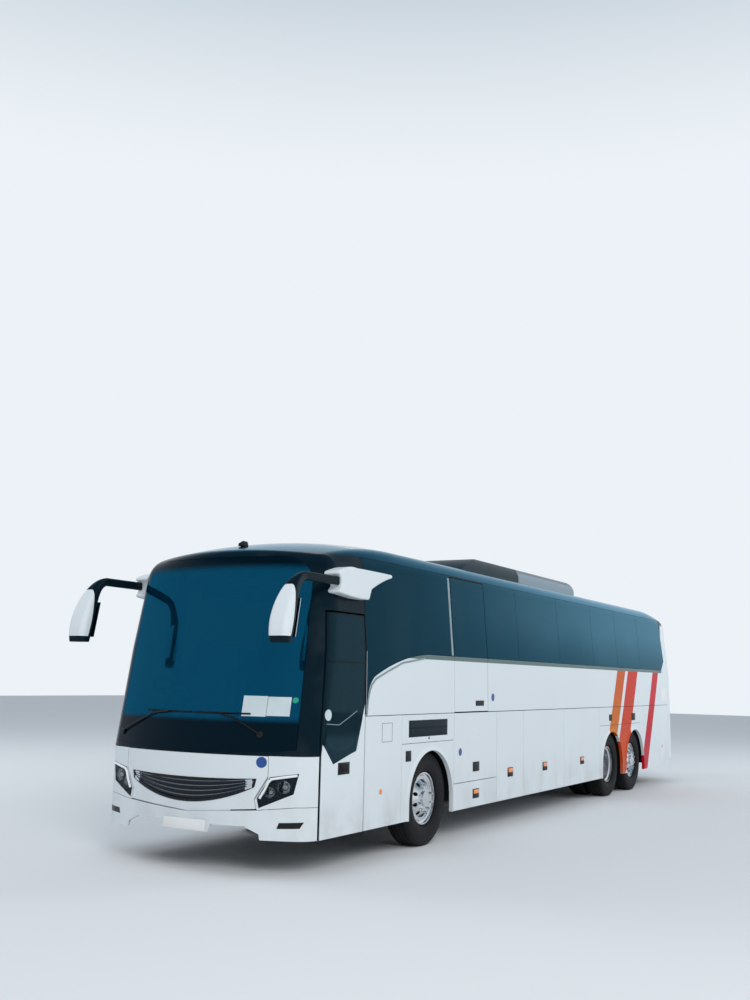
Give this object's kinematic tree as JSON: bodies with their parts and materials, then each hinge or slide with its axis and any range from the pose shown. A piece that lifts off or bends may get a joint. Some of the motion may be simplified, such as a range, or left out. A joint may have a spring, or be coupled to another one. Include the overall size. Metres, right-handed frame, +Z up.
{
  "type": "three-axle touring coach",
  "caption": "High-floor touring coach with one swing-out door, a lift door, luggage flaps, twin drive wheels, a steered tag axle and roof air conditioning.",
  "frame": {"origin": "on the ground, under the middle of the outline box, mirrors included", "axes": "+Z up, -Y towards the front of the coach, +X towards its left flank, where the entrance is"},
  "size_m": [2.7168, 14.2976, 3.5969],
  "materials": {
    "body_paint": "gloss white paint",
    "black_gloss": "gloss black trim",
    "black_plastic": "textured black plastic",
    "tinted_glass": "dark tinted glass",
    "clear_glass": "laminated windscreen glass",
    "lamp_lens": "clear lamp lens",
    "lamp_red": "red lamp lens",
    "tyre_rubber": "worn tread rubber",
    "polished_rim": "polished alloy",
    "cast_steel": "painted casting",
    "chassis_steel": "black chassis paint",
    "deck": "plywood floor with a grey covering",
    "grey_plastic": "grey moulded casing",
    "seat_cloth": "patterned moquette",
    "mirror_face": "mirror glass"
  },
  "bodies": {
    "coach": {"front_panel": "body_paint", "bumper_front": "body_paint", "headlamps": "black_plastic", "headlamp_lenses": "lamp_lens", "windscreen": "clear_glass", "side_windows": "tinted_glass", "front_frame": "black_gloss", "side_wall_left": "body_paint", "side_wall_right": "body_paint", "skirt_panels": "body_paint", "roof": "body_paint", "rear_wall": "body_paint", "tail_lamps": "lamp_red", "axles": "cast_steel", "chassis_frame": "chassis_steel", "engine_block": "cast_steel", "wheel_housings": "black_plastic", "floor": "deck", "entrance_steps": "deck", "luggage_hold": "chassis_steel", "seats": "seat_cloth", "dashboard": "black_plastic", "luggage_racks": "grey_plastic", "mirror_arms": "black_plastic", "mirror_glass": "mirror_face", "mirror_fairings": "body_paint", "air_conditioner": "grey_plastic"},
    "front_steer_left": {"front_knuckle_left": "cast_steel"},
    "front_wheel_left": {"front_tyre_left": "tyre_rubber", "front_rim_left": "polished_rim"},
    "tag_steer_left": {"tag_knuckle_left": "cast_steel"},
    "tag_wheel_left": {"tag_tyre_left": "tyre_rubber", "tag_rim_left": "polished_rim"},
    "drive_wheel_left": {"drive_tyre_left": "tyre_rubber", "drive_rim_left": "polished_rim"},
    "front_steer_right": {"front_knuckle_right": "cast_steel"},
    "front_wheel_right": {"front_tyre_right": "tyre_rubber", "front_rim_right": "polished_rim"},
    "tag_steer_right": {"tag_knuckle_right": "cast_steel"},
    "tag_wheel_right": {"tag_tyre_right": "tyre_rubber", "tag_rim_right": "polished_rim"},
    "drive_wheel_right": {"drive_tyre_right": "tyre_rubber", "drive_rim_right": "polished_rim"},
    "entrance_arm": {"door_arm": "black_plastic"},
    "entrance_leaf": {"door_leaf": "body_paint", "door_glass": "tinted_glass"},
    "locker_left_1_flap": {"locker_left_1": "body_paint"},
    "locker_left_2_flap": {"locker_left_2": "body_paint"},
    "locker_left_3_flap": {"locker_left_3": "body_paint"},
    "locker_left_4_flap": {"locker_left_4": "body_paint"},
    "lift_cover": {"lift_flap": "body_paint"},
    "locker_right_1_flap": {"locker_right_1": "body_paint"},
    "locker_right_2_flap": {"locker_right_2": "body_paint"},
    "locker_right_3_flap": {"locker_right_3": "body_paint"},
    "locker_right_4_flap": {"locker_right_4": "body_paint"},
    "lift_door_leaf": {"lift_door": "body_paint", "lift_door_glass": "tinted_glass"},
    "front_lid": {"front_flap": "body_paint", "grille": "black_plastic"},
    "engine_hatch": {"engine_lid": "body_paint"}
  },
  "joints": [
    {"name": "front_steering_left", "type": "hinge", "parent": "coach", "child": "front_steer_left", "pos_m": [0.925, -3.976, 0.522], "axis": [0, 0, 1], "range_deg": [-42, 42]},
    {"name": "front_spin_left", "type": "hinge", "parent": "front_steer_left", "child": "front_wheel_left", "pos_m": [1.08, -3.976, 0.522], "axis": [1, 0, 0], "continuous": true},
    {"name": "tag_steering_left", "type": "hinge", "parent": "coach", "child": "tag_steer_left", "pos_m": [0.925, 4.284, 0.522], "axis": [0, 0, 1], "range_deg": [-13, 13]},
    {"name": "tag_spin_left", "type": "hinge", "parent": "tag_steer_left", "child": "tag_wheel_left", "pos_m": [1.08, 4.284, 0.522], "axis": [1, 0, 0], "continuous": true},
    {"name": "drive_spin_left", "type": "hinge", "parent": "coach", "child": "drive_wheel_left", "pos_m": [1.08, 2.934, 0.522], "axis": [1, 0, 0], "continuous": true},
    {"name": "front_steering_right", "type": "hinge", "parent": "coach", "child": "front_steer_right", "pos_m": [-0.925, -3.976, 0.522], "axis": [0, 0, 1], "range_deg": [-42, 42]},
    {"name": "front_spin_right", "type": "hinge", "parent": "front_steer_right", "child": "front_wheel_right", "pos_m": [-1.08, -3.976, 0.522], "axis": [1, 0, 0], "continuous": true},
    {"name": "tag_steering_right", "type": "hinge", "parent": "coach", "child": "tag_steer_right", "pos_m": [-0.925, 4.284, 0.522], "axis": [0, 0, 1], "range_deg": [-13, 13]},
    {"name": "tag_spin_right", "type": "hinge", "parent": "tag_steer_right", "child": "tag_wheel_right", "pos_m": [-1.08, 4.284, 0.522], "axis": [1, 0, 0], "continuous": true},
    {"name": "drive_spin_right", "type": "hinge", "parent": "coach", "child": "drive_wheel_right", "pos_m": [-1.08, 2.934, 0.522], "axis": [1, 0, 0], "continuous": true},
    {"name": "entrance_swing", "type": "hinge", "parent": "coach", "child": "entrance_arm", "pos_m": [1.12, -6.286, 0.9], "axis": [0, 0, -1], "range_deg": [0, 115]},
    {"name": "entrance_leaf_turn", "type": "hinge", "parent": "entrance_arm", "child": "entrance_leaf", "pos_m": [1.18, -5.836, 0.9], "axis": [0, 0, -1], "range_deg": [-115, 0]},
    {"name": "locker_left_1_hinge", "type": "hinge", "parent": "coach", "child": "locker_left_1_flap", "pos_m": [1.275, -2.706, 1.47], "axis": [0, -1, 0], "range_deg": [0, 90]},
    {"name": "locker_left_2_hinge", "type": "hinge", "parent": "coach", "child": "locker_left_2_flap", "pos_m": [1.275, -1.581, 1.47], "axis": [0, -1, 0], "range_deg": [0, 90]},
    {"name": "locker_left_3_hinge", "type": "hinge", "parent": "coach", "child": "locker_left_3_flap", "pos_m": [1.275, -0.286, 1.47], "axis": [0, -1, 0], "range_deg": [0, 90]},
    {"name": "locker_left_4_hinge", "type": "hinge", "parent": "coach", "child": "locker_left_4_flap", "pos_m": [1.275, 1.409, 1.47], "axis": [0, -1, 0], "range_deg": [0, 90]},
    {"name": "lift_flap_hinge", "type": "hinge", "parent": "coach", "child": "lift_cover", "pos_m": [1.275, -2.706, 0.64], "axis": [0, -1, 0], "range_deg": [0, 90]},
    {"name": "locker_right_1_hinge", "type": "hinge", "parent": "coach", "child": "locker_right_1_flap", "pos_m": [-1.275, -2.706, 1.47], "axis": [0, 1, 0], "range_deg": [0, 90]},
    {"name": "locker_right_2_hinge", "type": "hinge", "parent": "coach", "child": "locker_right_2_flap", "pos_m": [-1.275, -1.581, 1.47], "axis": [0, 1, 0], "range_deg": [0, 90]},
    {"name": "locker_right_3_hinge", "type": "hinge", "parent": "coach", "child": "locker_right_3_flap", "pos_m": [-1.275, -0.286, 1.47], "axis": [0, 1, 0], "range_deg": [0, 90]},
    {"name": "locker_right_4_hinge", "type": "hinge", "parent": "coach", "child": "locker_right_4_flap", "pos_m": [-1.275, 1.409, 1.47], "axis": [0, 1, 0], "range_deg": [0, 90]},
    {"name": "lift_door_hinge", "type": "hinge", "parent": "coach", "child": "lift_door_leaf", "pos_m": [1.277, -3.346, 2.3], "axis": [0, 0, -1], "range_deg": [0, 100]},
    {"name": "front_lid_hinge", "type": "hinge", "parent": "coach", "child": "front_lid", "pos_m": [0, -6.786, 1.106], "axis": [-1, 0, 0], "range_deg": [0, 80]},
    {"name": "engine_hatch_hinge", "type": "hinge", "parent": "coach", "child": "engine_hatch", "pos_m": [0, 7.10359, 1.98], "axis": [1, 0, 0], "range_deg": [0, 80]}
  ],
  "couplings": [
    {"joint": "front_steering_right", "follows": "front_steering_left", "ratio": 1},
    {"joint": "tag_steering_left", "follows": "front_steering_left", "ratio": -0.3},
    {"joint": "tag_steering_right", "follows": "front_steering_left", "ratio": -0.3},
    {"joint": "entrance_leaf_turn", "follows": "entrance_swing", "ratio": -1}
  ]
}
